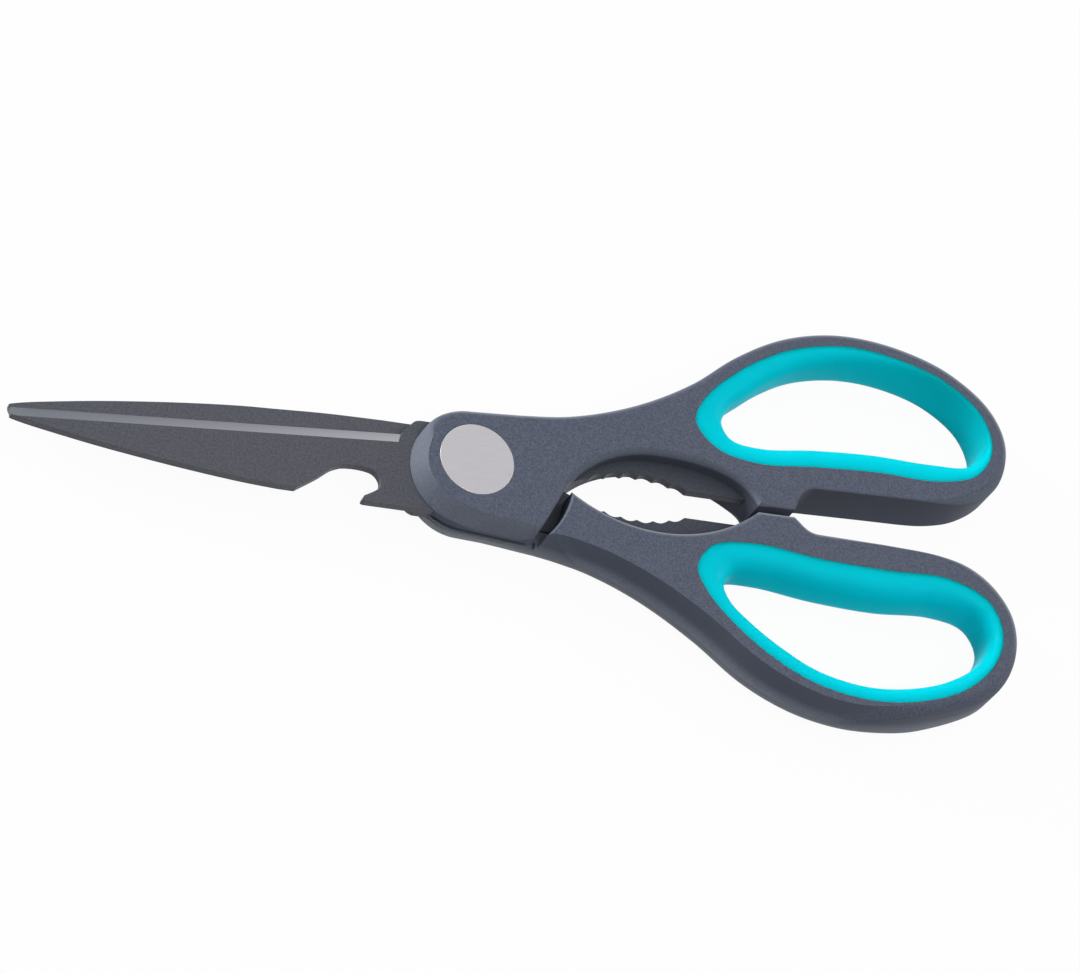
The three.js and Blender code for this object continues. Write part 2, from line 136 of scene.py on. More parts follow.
def nylonMaterial(name, hasSkirt):
    material, tree = newMaterial(name)
    spot = addNode(tree, "ShaderNodeTexCoord", {}, {}).outputs
    grain = noise(tree, spot["Object"], 1 / (nylon["grainMm"] * mm), 2.0, 0.6)
    speckle = faded(tree, grain, *nylon["grainRange"])
    tint = blended(tree, speckle, linear(nylon["colour"]), linear(nylon["pale"]))
    edge = 0.0
    for side in nylon["paintedLightSides"]:
        if hasSkirt and "frontOnly" in side:
            continue
        facing = dotProduct(tree, spot["Normal"], side["toward"])
        edge = calculated(tree, "MAXIMUM", edge, faded(tree, facing, side["from"], side["full"]))
    # painted shade: upright walls are drawn darker, sloped faces in the plain tint
    sloped = faded(tree, parted(tree, spot["Normal"])["Z"], *nylon["wallRise"])
    tint = blended(tree, sloped, linear(nylon["wall"]), tint)
    # painted highlight on sloped edges that face those ways
    paintedLight = calculated(tree, "MULTIPLY", edge, sloped)
    if hasSkirt:
        # painted light: the skirt is drawn paler towards its foot
        place, skirt = parted(tree, spot["Object"]), nylon["skirtMm"]
        low = faded(tree, place["Z"], skirt["top"] * mm, skirt["foot"] * mm)
        near = faded(tree, place["Y"], skirt["startY"] * mm, skirt["fullY"] * mm)
        paintedLight = calculated(tree, "MAXIMUM", paintedLight, calculated(tree, "MULTIPLY", low, near))
    return finished(
        material,
        tree,
        {
            "Base Color": blended(tree, paintedLight, tint, linear(nylon["paintedLight"])),
            "Roughness": nylon["roughness"],
            "Specular IOR Level": nylon["specular"],
            "Normal": relief(tree, grain, nylon["grainDepthMm"], 0.5),
        },
    )


# Thermoplastic elastomer, moulded over the nylon: smooth, silky and strongly coloured, with hardly any
# highlight.
elastomer = {
    "colour": "#00c4d4",
    "deep": "#00bdcd",
    "cloudMm": 6.0,
    "grainMm": 0.6,
    "grainDepthMm": 0.004,
    "roughness": 0.4,
    "specular": 0.02,  # tuned low, so that reflections hardly pale the colour
    "glowMm": 6.0,  # light soaks in about this far and keeps the shaded walls bright
    "glow": 0.9,
}


def elastomerMaterial():
    material, tree = newMaterial("moulded_elastomer")
    place = addNode(tree, "ShaderNodeTexCoord", {}, {}).outputs["Object"]
    cloud = noise(tree, place, 1 / (elastomer["cloudMm"] * mm))
    grain = noise(tree, place, 1 / (elastomer["grainMm"] * mm))
    return finished(
        material,
        tree,
        {
            "Base Color": blended(tree, cloud, linear(elastomer["colour"]), linear(elastomer["deep"])),
            "Roughness": elastomer["roughness"],
            "Specular IOR Level": elastomer["specular"],
            "Subsurface Weight": elastomer["glow"],
            "Subsurface Radius": (1.0, 1.0, 1.0),
            "Subsurface Scale": elastomer["glowMm"] * mm,
            "Normal": relief(tree, grain, elastomer["grainDepthMm"], 0.5),
        },
    )


# Stainless steel with a baked dark grey non-stick coat, sprayed on: nearly black-grey, satin, with the
# fine orange peel and paler flecks of a sprayed film. The tangs are drawn darker, as painted shade.
coat = {
    "blade": {"colour": "#3e4048", "fleck": "#54555c"},
    # painted shade: the tangs lie in shade in the jaw and the slots, so their coat is drawn darker
    "tang": {"colour": "#343841", "fleck": "#454952"},
    "fleckMm": 0.5,  # drawn about three times its real size so that it shows
    "fleckRange": (0.3, 0.7),
    "peelDepthMm": 0.008,
    "roughness": 0.46,
    "specular": 0.2,
}


def coatMaterial(name, part):
    material, tree = newMaterial(name)
    place = addNode(tree, "ShaderNodeTexCoord", {}, {}).outputs["Object"]
    peel = noise(tree, place, 1 / (coat["fleckMm"] * mm), 3.0, 0.65)
    fleck = faded(tree, peel, *coat["fleckRange"])
    return finished(
        material,
        tree,
        {
            "Base Color": blended(tree, fleck, linear(coat[part]["colour"]), linear(coat[part]["fleck"])),
            "Roughness": coat["roughness"],
            "Specular IOR Level": coat["specular"],
            "Normal": relief(tree, peel, coat["peelDepthMm"], 0.5),
        },
    )


# Bare stainless steel: the scratches of grinding or brushing all run one way, so the grain is noise
# stretched along them. streak is the direction of the scratches in degrees from x.
steel = {
    "ground": {
        "colour": "#6b6f76",
        "pale": "#777b82",
        # painted highlight: the bevel's colour brightens towards the heel, standing in for a reflection
        "heel": "#a8a7ae",  # the bevel is brighter towards the heel
        "heelRangeMm": (-90, -10),
        "streakMm": 0.35,
        "streak": 88,
        "roughness": 0.4,
    },
    "satin": {"colour": "#adabaf", "pale": "#bbb9bd", "streakMm": 0.3, "streak": 10, "roughness": 0.42},
    "zinc": {"colour": "#8f9296", "pale": "#a2a5a9", "streakMm": 0.4, "streak": 0, "roughness": 0.45},
    "stretch": 14,
    "scratchDepthMm": 0.004,
}


def steelMaterial(name, finish):
    look = steel[finish]
    material, tree = newMaterial(name)
    place = addNode(tree, "ShaderNodeTexCoord", {}, {}).outputs["Object"]
    turn = (0.0, 0.0, -math.radians(look["streak"]))
    turned = addNode(tree, "ShaderNodeMapping", {}, {"Vector": place, "Rotation": turn}).outputs["Vector"]
    fine = 1 / (look["streakMm"] * mm)
    stretch = (fine / steel["stretch"], fine, fine)
    drawn = addNode(tree, "ShaderNodeMapping", {}, {"Vector": turned, "Scale": stretch}).outputs["Vector"]
    scratch = noise(tree, drawn, 1.0, 3.0)
    tint = blended(tree, scratch, linear(look["colour"]), linear(look["pale"]))
    # painted highlight: the ground bevel is drawn brighter towards the heel
    if "heel" in look:
        start, full = (x * mm for x in look["heelRangeMm"])
        heel = faded(tree, parted(tree, place)["X"], start, full)
        tint = blended(tree, heel, tint, linear(look["heel"]))
    return finished(
        material,
        tree,
        {
            "Base Color": tint,
            "Metallic": 1.0,
            "Roughness": look["roughness"],
            "Normal": relief(tree, scratch, steel["scratchDepthMm"], 0.4),
        },
    )


# two copies of one nylon that differ only in painted light: the front one pales edges facing -y, the rear
# one the foot of its skirt
frontNylon = nylonMaterial("moulded_nylon_front", False)
rearNylon = nylonMaterial("moulded_nylon_rear", True)
mouldedElastomer = elastomerMaterial()
coatedSteel = coatMaterial("coated_stainless", "blade")
# the tangs' darker coat is painted shade
tangSteel = coatMaterial("tang_painted_shade", "tang")
groundSteel = steelMaterial("ground_stainless", "ground")
satinSteel = steelMaterial("brushed_stainless", "satin")
zincSteel = steelMaterial("zinc_plated_steel", "zinc")
print("materials made")


# Lines in the plane of the scissors, in millimetres
leastStep = 0.05  # points of an outline nearer than this count as one


def arc(centre, radius, fromDegrees, toDegrees, steps):
    turns = [math.radians(fromDegrees + (toDegrees - fromDegrees) * i / steps) for i in range(steps + 1)]
    return [Vector((centre[0] + radius * math.cos(t), centre[1] + radius * math.sin(t))) for t in turns]


def hermite(a, b, aSlope, bSlope, t):
    square, cube = t * t, t * t * t
    return (
        a * (2 * cube - 3 * square + 1)
        + aSlope * (cube - 2 * square + t)
        + b * (3 * square - 2 * cube)
        + bSlope * (cube - square)
    )


def spline(points, steps):
    points = [Vector(p) for p in points]
    last = len(points) - 1
    line = []
    for i in range(last):
        before, after = points[max(i - 1, 0)], points[min(i + 2, last)]
        a, b = points[i], points[i + 1]
        line += [hermite(a, b, (b - before) / 2, (after - a) / 2, k / steps) for k in range(steps)]
    return line + [points[last]]


def loop(points, steps):
    points = [Vector(p) for p in points]
    count = len(points)
    line = []
    for i in range(count):
        p = [points[(i + k - 1) % count] for k in range(4)]
        d = [math.sqrt((p[k + 1] - p[k]).length) for k in range(3)]
        first = (p[1] - p[0]) / d[0] - (p[2] - p[0]) / (d[0] + d[1]) + (p[2] - p[1]) / d[1]
        second = (p[2] - p[1]) / d[1] - (p[3] - p[1]) / (d[1] + d[2]) + (p[3] - p[2]) / d[2]
        line += [hermite(p[1], p[2], first * d[1], second * d[1], k / steps) for k in range(steps)]
    return line


def bezier(a, b, c, d, steps):
    a, b, c, d = (Vector(p) for p in (a, b, c, d))
    shares = [i / steps for i in range(steps + 1)]
    return [
        a * (1 - t) ** 3 + b * (3 * t * (1 - t) ** 2) + c * (3 * t * t * (1 - t)) + d * t**3 for t in shares
    ]


def tidyLine(points, least):
    kept = [points[0]]
    for p in points[1:]:
        if (p - kept[-1]).length > least:
            kept.append(p)
    while (kept[-1] - kept[0]).length <= least:
        kept.pop()
    return kept


def counterClockwise(points):
    area = sum(a.x * b.y - a.y * b.x for a, b in zip(points, points[1:] + points[:1]))
    return points if area > 0 else points[::-1]


# Moves a counter-clockwise outline inwards. Near an outer corner the points gather on the corner, so
# that the new line never crosses itself.
def movedIn(points, insets):
    count = len(points)
    moved, turns = [], []
    for i, p in enumerate(points):
        coming = (p - points[i - 1]).normalized()
        going = (points[(i + 1) % count] - p).normalized()
        left = Vector((-coming.y, coming.x))
        middle = (left + Vector((-going.y, going.x))).normalized()
        moved.append(p + middle * (insets[i] / max(0.4, middle.dot(left))))
        turns.append(math.atan2(coming.x * going.y - coming.y * going.x, coming.dot(going)))
    for i, turn in enumerate(turns):
        if turn * insets[i] <= 0 or abs(turn) < 0.3:
            continue
        room = abs(insets[i]) * math.tan(abs(turn) / 2)
        for step in (-1, 1):
            j, gone = i, 0.0
            while gone < room:
                k = (j + step) % count
                gone += (points[k] - points[j]).length
                if gone < room:
                    moved[k] = moved[i].copy()
                j = k
    return moved


# Solids


def newPiece(name, bm):
    mesh = bpy.data.meshes.new(name)
    bm.to_mesh(mesh)
    bm.free()
    piece = bpy.data.objects.new(name, mesh)
    bpy.context.scene.collection.objects.link(piece)
    return piece


# Stacks rings of [x, y, z] in millimetres into a closed skin, from the lowest to the highest
def stacked(name, rings):
    bm = bmesh.new()
    rows = [[bm.verts.new(Vector(p) * mm) for p in ring] for ring in rings]
    count = len(rows[0])
    for low, high in zip(rows, rows[1:]):
        for i in range(count):
            j = (i + 1) % count
            bm.faces.new((low[i], low[j], high[j], high[i]))
    ends = [bm.faces.new(rows[0][::-1]), bm.faces.new(rows[-1])]
    for face in ends:
        face.normal_update()
    bmesh.ops.triangulate(bm, faces=ends, ngon_method="EAR_CLIP")
    bmesh.ops.remove_doubles(bm, verts=bm.verts, dist=1e-8)
    bmesh.ops.dissolve_degenerate(bm, edges=bm.edges, dist=1e-9)
    bmesh.ops.recalc_face_normals(bm, faces=bm.faces)
    return newPiece(name, bm)


# An edge is (inset, drop, flat): how far it reaches in from the outline and down from the face, and its
# shape, from 0 for a round edge over 1 for a straight one to 2 for a hollow one
def slab(name, outline, low, high, front=None, back=None, steps=6):
    plain = [(0.0, 0.0, 0.0)] * len(outline)
    rings = []
    for edge, face, way in ((back, low, 1), (front, high, -1)):
        rows = edge or plain
        made = []
        for k in range(steps + 1) if edge else [steps]:
            t = k / steps
            bow = 1 - math.sin(t * math.pi / 2)
            fall = 1 - math.cos(t * math.pi / 2)
            line = movedIn(outline, [inset * (bow + flat * (1 - t - bow)) for inset, drop, flat in rows])
            drops = [drop * (fall + flat * (t - fall)) for inset, drop, flat in rows]
            made.append([(p.x, p.y, face + way * d) for p, d in zip(line, drops)])
        rings += made if way > 0 else made[::-1]
    return stacked(name, rings)


# A turned solid from [radius, height] points, both ends on the axis
def turnedSolid(name, profile, sides=160, centre=(0, 0)):
    bm = bmesh.new()
    rows = []
    for radius, height in profile:
        if radius == 0:
            rows.append([bm.verts.new(Vector((centre[0], centre[1], height)) * mm)])
            continue
        ring = arc(centre, radius, 0, 360 - 360 / sides, sides - 1)
        rows.append([bm.verts.new(Vector((p.x, p.y, height)) * mm) for p in ring])
    for low, high in zip(rows, rows[1:]):
        for i in range(sides):
            j = (i + 1) % sides
            corners = [low[i % len(low)], low[j % len(low)], high[j % len(high)], high[i % len(high)]]
            bm.faces.new(list(dict.fromkeys(corners)))
    bmesh.ops.recalc_face_normals(bm, faces=bm.faces)
    return newPiece(name, bm)


def rod(name, radius, low, high, sides=160, centre=(0, 0)):
    return turnedSolid(name, [(0, low), (radius, low), (radius, high), (0, high)], sides, centre)


def cutAway(piece, cutters):
    for cutter in cutters:
        cut = piece.modifiers.new("cut", "BOOLEAN")
        cut.operation = "DIFFERENCE"
        cut.solver = "MANIFOLD"
        cut.object = cutter
    graph = bpy.context.evaluated_depsgraph_get()
    mesh = bpy.data.meshes.new_from_object(piece.evaluated_get(graph))
    piece.modifiers.clear()
    mesh.materials.clear()
    piece.data = mesh
    for cutter in cutters:
        bpy.data.objects.remove(cutter)
    return piece


def dress(piece, materials, body, node, crease=32):
    mesh = piece.data
    for material in materials:
        mesh.materials.append(material)
    mesh.shade_smooth()
    mesh.set_sharp_from_angle(angle=math.radians(crease))
    even = piece.modifiers.new("even", "WEIGHTED_NORMAL")
    even.keep_sharp = True
    graph = bpy.context.evaluated_depsgraph_get()
    piece.data = bpy.data.meshes.new_from_object(piece.evaluated_get(graph))
    piece.modifiers.clear()
    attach(piece, body)
    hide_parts(node)
    print(piece.name, len(piece.data.polygons), "faces")


# Shared levels, as in the solids underneath
level = {"back": 0.0, "middle": 6.0, "front": 12.0, "bladeGap": 0.1, "bladeThick": 2.0, "bossGap": 0.8}
frontBladeLow = level["middle"] + level["bladeGap"] / 2
rearBladeLow = level["middle"] - level["bladeGap"] / 2 - level["bladeThick"]


# The line along which the blades close
closing = {"height": -0.87, "slope": -0.008}


# A place v away from the closing line: side 1 is the front half, whose edge looks to +y, side -1 the rear
def across(side, x, v):
    return Vector((x, closing["height"] + closing["slope"] * x + side * v))


# Blades
blade = {
    "tipX": -96.4,
    "heelX": -14.4,
    "edgeAtTip": 0.75,
    "edgeAtHeel": 7.35,
    "bevelWidth": 2.8,
    "bevelSlant": 1.1,
    "edgeLand": 0.2,
    "tipChamfer": 0.3,
    "tip": [(0.05, 0.2), (0, -0.7), (0.1, -1.6)],
    "spine": [
        (-95.9, 1.8),
        (-93.5, 2.4),
        (-89, 3.3),
        (-79, 5.05),
        (-69, 6.5),
        (-59, 7.75),
        (-49, 8.75),
        (-41, 9.25),
    ],
    "rearSpine": [(-30, 9.9), (-18, 10.2)],
    "notch": [
        (-37.6, 9.25),
        (-33, 6.1),
        (-29, 3.1),
        (-25.2, 2.35),
        (-21.3, 2.8),
        (-19.7, 4.45),
        (-19.7, 6.4),
        (-20.6, 7.35),
        (-22.2, 8.35),
        (-23.1, 8.85),
    ],
    "claw": [(-23.4, 9.3), (-23.6, 9.95), (-23.1, 10.2)],
    "tangLead": [(3, -10.2), (9.5, -7.2), (15.5, -2.6), (20.5, 0.15), (24.6, 1.95), (26.3, 2.45)],
    "tangBack": [
        (60, 5.2),
        (56, 7),
        (52, 8.4),
        (48, 10.4),
        (43, 12.3),
        (36, 12.9),
        (27, 11.7),
        (18, 10.5),
        (8, 10.2),
    ],
    "teeth": 6,
    "teethFromX": 26.3,
    "teethToX": 47.9,
    "teethArcRadius": 28.8,
    "teethArcRise": 4.57,
    "toothDepth": 0.55,
    "jawFlat": 2.55,
    "tangEndX": 61.5,
    "tangEndRise": 4.2,
    "ricassoRise": [(-10.4, 10.2), (-11.6, 9.95), (-12.4, 9.3), (-13.2, 8.4), (-14.4, 7.35)],
    "relief": [(-11.8, 9.9), (-13.4, 8.9), (-15.4, 5.2), (-19.4, 1.4), (-25.4, 1), (-31, 3.3)],
    "reliefX": -36,
    "rearRicasso": (-10, 9.9),
    "burr": 0.1,
    "tangX": 12.0,
    "boreRadius": 3.06,
    "anchor": (13, 5),
    "anchorRadius": 2.0,
}


def edgeHeight(x):
    share = (x - blade["tipX"]) / (blade["heelX"] - blade["tipX"])
    return blade["edgeAtTip"] + (blade["edgeAtHeel"] - blade["edgeAtTip"]) * share


def toothLine(side):
    middle = (blade["teethFromX"] + blade["teethToX"]) / 2
    pitch = (blade["teethToX"] - blade["teethFromX"]) / blade["teeth"]
    radius = blade["teethArcRadius"]
    line = []
    for tooth in range(blade["teeth"]):
        for i in range(10):
            share = i / 10
            x = blade["teethFromX"] + (tooth + share) * pitch
            rise = blade["teethArcRise"] - radius + math.sqrt(radius**2 - (x - middle) ** 2)
            line.append(across(side, x, rise + blade["toothDepth"] * math.sin(math.pi * share)))
    return line + [across(side, blade["teethToX"], blade["jawFlat"])]


def bladeOutline(side):
    tip = blade["tipX"]
    start = tip + blade["tipChamfer"]
    line = [across(side, start, edgeHeight(start))] + [across(side, tip + x, v) for x, v in blade["tip"]]
    if side > 0:
        line += spline([across(1, x, -v) for x, v in blade["spine"]], 8)
        line += spline([across(1, x, -v) for x, v in blade["notch"]], 10)
        line += [across(1, x, -v) for x, v in blade["claw"]]
    else:
        line += spline([across(-1, x, -v) for x, v in blade["spine"] + blade["rearSpine"]], 8)
    line += spline([across(side, x, v) for x, v in blade["tangLead"]], 6)[:-1]
    line += toothLine(side)
    line += [across(side, blade["tangEndX"], v) for v in (blade["jawFlat"], blade["tangEndRise"])]
    line += spline([across(side, x, v) for x, v in blade["tangBack"]], 6)
    if side > 0:
        line += spline([across(1, x, v) for x, v in blade["ricassoRise"]], 4)
    else:
        hollow = blade["relief"] + [(blade["reliefX"], edgeHeight(blade["reliefX"]))]
        line += [across(-1, *blade["rearRicasso"])] + spline([across(-1, x, v) for x, v in hollow], 8)
    return counterClockwise(tidyLine(line, leastStep))


# What grinding takes off the outer face along the edge
def bevelWedge(side):
    inner = level["middle"] + side * level["bladeGap"] / 2
    outer = inner + side * level["bladeThick"]
    endX = blade["heelX"] if side > 0 else blade["reliefX"]
    slope = (level["bladeThick"] - blade["edgeLand"]) / blade["bevelWidth"]
    bm = bmesh.new()
    for x, slant in ((blade["tipX"] - 3, 0), (endX, blade["bevelSlant"])):
        edge = across(side, x, edgeHeight(x))
        root = across(side, x - slant, edgeHeight(x - slant) - blade["bevelWidth"])
        past = across(side, x + slant / blade["bevelWidth"], edgeHeight(x) + 1)
        for p, z in (
            (root, outer),
            (root, outer + side),
            (edge, inner + side * blade["edgeLand"]),
            (past, inner + side * (blade["edgeLand"] - slope)),
            (past, outer + side),
        ):
            bm.verts.new(Vector((p.x, p.y, z)) * mm)
    bmesh.ops.convex_hull(bm, input=bm.verts)
    bmesh.ops.recalc_face_normals(bm, faces=bm.faces)
    return newPiece("wedge", bm)


def makeBlade(name, node, body, side):
    low = frontBladeLow if side > 0 else rearBladeLow
    high = low + level["bladeThick"]
    outline = bladeOutline(side)
    burr = [(blade["burr"], blade["burr"], 0.0)] * len(outline)
    piece = slab(name, outline, low, high, burr, burr, 2)
    bore = rod("bore", blade["boreRadius"], low - 1, high + 1)
    anchor = rod("anchor", blade["anchorRadius"], low - 1, high + 1, 48, across(side, *blade["anchor"]))
    cutAway(piece, [bevelWedge(side), bore, anchor])
    bm = bmesh.new()
    bm.from_mesh(piece.data)
    every = bm.verts[:] + bm.edges[:] + bm.faces[:]
    bmesh.ops.bisect_plane(bm, geom=every, plane_co=(blade["tangX"] * mm, 0, 0), plane_no=(1, 0, 0))
    bm.to_mesh(piece.data)
    bm.free()
    # The ground bevel is the larger faces that lean towards the edge
    for face in piece.data.polygons:
        slanted = 0.5 < side * face.normal.z < 0.95 and side * face.normal.y > 0.3
        face.material_index = 1 if slanted and face.area > 2e-7 else 0
        # the tangs take the darker coat, a painted shade
        if face.center.x > blade["tangX"] * mm:
            face.material_index = 2
    dress(piece, [coatedSteel, groundSteel, tangSteel], body, node, 20)


makeBlade("front_blade_plate", "front_blade", "front_half", 1)
makeBlade("rear_blade_plate", "rear_blade", "rear_half", -1)


# Handles. Each stretch of outline is (points, front edge, back edge), an edge as in slab.
handle = {
    "frontBoss": {"centre": (-0.75, -1.15), "radius": 12.5, "from": 90, "soft": 140, "to": 266},
    "rearBoss": {"centre": (-0.35, -1.2), "radius": 12.9, "from": 88, "to": 268},
    "shoulder": 21.2,
    "shoulderGap": 1.4,
    "frontCorner": -49.5,
    "rearCorner": 41.0,
    "stopLine": -2.35,
    "stopGap": 1.3,
    "stopX": (62.4, 70.6, 76.0),
    "upperJaw": {"apex": (40.2, 7.2), "radius": 25.5, "bends": [(50, 7.2), (60.5, 5.2)]},
    "lowerJaw": {"apex": (40.8, -10.8), "radius": 33.9},
    "upperInner": 4.0,
    "lowerInner": -6.4,
    "upperOuter": [
        (10, 12.05),
        (20, 13.2),
        (30, 15.9),
        (40, 20.05),
        (50, 25.85),
        (59.4, 33.1),
        (69.4, 38.85),
        (79.4, 41.95),
        (89.5, 42.8),
        (100, 41.5),
        (109.5, 38.25),
        (117.5, 32.4),
        (121.7, 25.8),
        (122.5, 19),
        (119.8, 11.8),
        (113.8, 6.95),
        (106, 4.9),
        (92, 4.4),
    ],
    "lowerOuter": [
        (4, -14.4),
        (11, -15.1),
        (20, -15.4),
        (30, -18.3),
        (40, -23.1),
        (50, -29.8),
        (60, -37.9),
        (70, -43),
        (80, -45.4),
        (90, -45.6),
        (100, -44.15),
        (111.4, -39.9),
        (117.2, -34.7),
        (120.3, -27.4),
        (120.1, -19.8),
        (116.3, -13.2),
        (110.6, -9.3),
        (103, -7.8),
        (90, -7.1),
    ],
    "bossEdge": (2.7, 3.9, 0.85),
    "footEdge": (1.7, 5.2, 0.9),
    "groove": {"from": 222, "out": 0.1, "in": 1.3, "deep": 1.4},
    "jawEdge": (1.2, 1.7, 0.1),
    "jawBackEdge": (0.5, 0.6, 0.0),
    "stopBackEdge": (3.0, 7.0, 0.8),
    "stopEdge": (0.45, 0.45, 0.0),
    "lowerJawEdge": (1.3, 1.3, 0.0),
    "innerEdge": (0.35, 0.35, 0.0),
    "neckEdge": (1.4, 1.1, 0.0),
    "endEdge": (2.4, 3.0, 0.0),
    "endBackEdge": (2.0, 2.4, 0.0),
    "backEdge": (0.5, 0.5, 0.0),
    "crispEdge": (0.3, 0.3, 0.0),
    "skirtEdge": (0.3, 0.4, 0.4),
    "flareEdge": (1.4, 7.6, 2.0),
    "skirtBackEdge": (0.8, 1.0, 0.0),
    "flareBackEdge": (3.2, 4.36, 0.0),
    "flare": {"out": 1.2, "belowY": -12, "starts": (14, 24), "ends": (78, 104)},
    "eases": {  # stretches of x along which one edge passes into the next
        "innerEnd": (100, 117),
        "upperEnd": (80, 116),
        "upperBackEnd": (102, 118),
        "lowerEnd": (72, 104),
        "lowerBackEnd": (92, 116),
        "rearNeck": (8, 20),
        "jawBack": (60, 63.5),
    },
    "edgeBlend": {"reach": 2.5, "points": 16},
    "upperInnerSide": {"belowY": 8, "pastX": 60},
    "tangPlay": 0.15,
    "seatPlay": 0.06,
    "seatLip": 0.1,
    "shoulderEase": 0.4,
    "capRadius": 8.0,
    "capDepth": 0.8,
    "cavityRadius": 5.95,
    "keyRadius": 1.85,
    "linerPlay": 0.05,
}

# Liners, counter-clockwise: a border point on the faces and its mate in the throat
liner = {
    "upper": [
        (53.5, 10.5, 58.5, 14.4),
        (62.5, 8.1, 65, 13.4),
        (76, 9.1, 77, 14.8),
        (90, 9.9, 90.2, 15.6),
        (105, 9.8, 104.3, 15.3),
        (114.2, 12.6, 113.2, 15.9),
        (118.4, 19.5, 117.2, 20.5),
        (116.4, 27.7, 115.4, 27.5),
        (109, 34.3, 108.6, 33.3),
        (99, 38.1, 99, 36.3),
        (87, 39.7, 87.5, 36.6),
        (75, 37.7, 76.5, 34.1),
        (66, 33.7, 68.9, 30.2),
        (58, 28.2, 63, 25.9),
        (51.6, 21.8, 58.4, 22),
        (49.3, 16.2, 56.7, 18.2),
    ],
    "lower": [
        (47.5, -18.2, 54.7, -20.2),
        (49.6, -23.8, 56, -24.5),
        (55, -30.2, 60.1, -28.5),
        (63, -36.7, 66.6, -33.2),
        (72, -41.4, 74, -37.2),
        (84, -43.8, 84.6, -39.4),
        (96, -42.7, 94.9, -38.6),
        (106.5, -38.8, 104.2, -35.7),
        (113.9, -32.1, 111.5, -30.8),
        (116.5, -25, 114.3, -24.8),
        (114.2, -17.8, 111.8, -20.1),
        (105.5, -13.4, 104, -18.5),
        (91, -13.2, 91, -19.2),
        (76, -12.6, 77.2, -18.4),
        (61, -11, 64, -16.7),
        (51.2, -12.7, 56.9, -17.2),
    ],
    "steps": 12,
    "sectionSteps": 22,
    "fullness": 0.68,
    "rib": 0.8,
    "ribHeight": 3.0,
}


def smoothStep(low, high, x):
    t = min(1.0, max(0.0, (x - low) / (high - low)))
    return t * t * (3 - 2 * t)


def mixed(a, b, share):
    return tuple(x + (y - x) * share for x, y in zip(a, b))


def eased(name, a, b, x):
    return mixed(handle[a], handle[b], smoothStep(*handle["eases"][name], x))


# The upper loop's front edge: crisp along the inner straight, softer outside, softest at the far end
def upperEdge(p):
    side = handle["upperInnerSide"]
    if p.y < side["belowY"] and p.x > side["pastX"]:
        return eased("innerEnd", "innerEdge", "endEdge", p.x)
    return eased("upperEnd", "neckEdge", "endEdge", p.x)


def upperBackEdge(p):
    return eased("upperBackEnd", "crispEdge", "endBackEdge", p.x)


# The lower handle's outer wall flares out along the neck, hollow under a crisp front edge
def flareAt(p):
    flare = handle["flare"]
    if p.y > flare["belowY"]:
        return 0.0
    return smoothStep(*flare["starts"], p.x) * (1 - smoothStep(*flare["ends"], p.x))


def lowerEdge(p):
    if p.y > handle["flare"]["belowY"]:
        return eased("innerEnd", "stopEdge", "endEdge", p.x)
    wall = mixed(handle["skirtEdge"], handle["flareEdge"], flareAt(p))
    return mixed(wall, handle["endEdge"], smoothStep(*handle["eases"]["lowerEnd"], p.x))


def lowerBackEdge(p):
    wall = mixed(handle["skirtBackEdge"], handle["flareBackEdge"], flareAt(p))
    neck = mixed(handle["footEdge"], wall, smoothStep(*handle["eases"]["rearNeck"], p.x))
    return mixed(neck, handle["endBackEdge"], smoothStep(*handle["eases"]["lowerBackEnd"], p.x))


# The arch's back edge falls away towards the stop
def jawBack(p):
    return eased("jawBack", "jawBackEdge", "stopBackEdge", p.x)


def polar(radius, degrees):
    return Vector((radius * math.cos(math.radians(degrees)), radius * math.sin(math.radians(degrees))))


def jawStart(centre, radius, side):
    reach = handle["shoulder"] - handle["shoulderGap"]
    far = centre.length
    inside = math.acos((far**2 + radius**2 - reach**2) / (2 * far * radius))
    return math.degrees(math.atan2(-centre.y, -centre.x)) - side * math.degrees(inside)


def frontStretches():
    jaw = handle["upperJaw"]
    stopY = handle["stopLine"] + handle["stopGap"] / 2
    fromX, toX, rampX = handle["stopX"]
    centre = Vector((jaw["apex"][0], jaw["apex"][1] - jaw["radius"]))
    start = jawStart(centre, jaw["radius"], 1)
    arch = arc(centre, jaw["radius"], start, 90, 30)
    arch += bezier(jaw["apex"], *jaw["bends"], (fromX, stopY), 40)
    pad = [Vector((fromX + 0.4 * i, stopY)) for i in range(3, 18)]
    inner = handle["upperInner"]
    ramp = bezier((toX, stopY), (toX + 1.2, inner - 3), (toX + 1.8, inner - 0.2), (rampX, inner), 16)
    corner = polar(handle["shoulder"] - handle["shoulderGap"], handle["frontCorner"])
    outer = spline(handle["upperOuter"][::-1], 10)
    disc = handle["frontBoss"]
    bossTop = arc(disc["centre"], disc["radius"], disc["from"], disc["soft"], 20)
    boss = arc(disc["centre"], disc["radius"], disc["soft"], disc["to"], 40)
    diagonal = [corner.lerp(arch[0], i / 24) for i in range(3, 23)]
    foot = [boss[-1].lerp(corner, i / 20) for i in range(1, 20)]
    return [
        ([corner], handle["footEdge"], handle["crispEdge"]),
        (diagonal, handle["innerEdge"], handle["crispEdge"]),
        (arch, handle["jawEdge"], jawBack),
        (pad, handle["stopEdge"], handle["crispEdge"]),
        (ramp, handle["stopEdge"], handle["crispEdge"]),
        (outer, upperEdge, upperBackEdge),
        (bossTop, handle["neckEdge"], handle["crispEdge"]),
        (boss, handle["bossEdge"], handle["crispEdge"]),
        (foot, handle["footEdge"], handle["crispEdge"]),
    ]


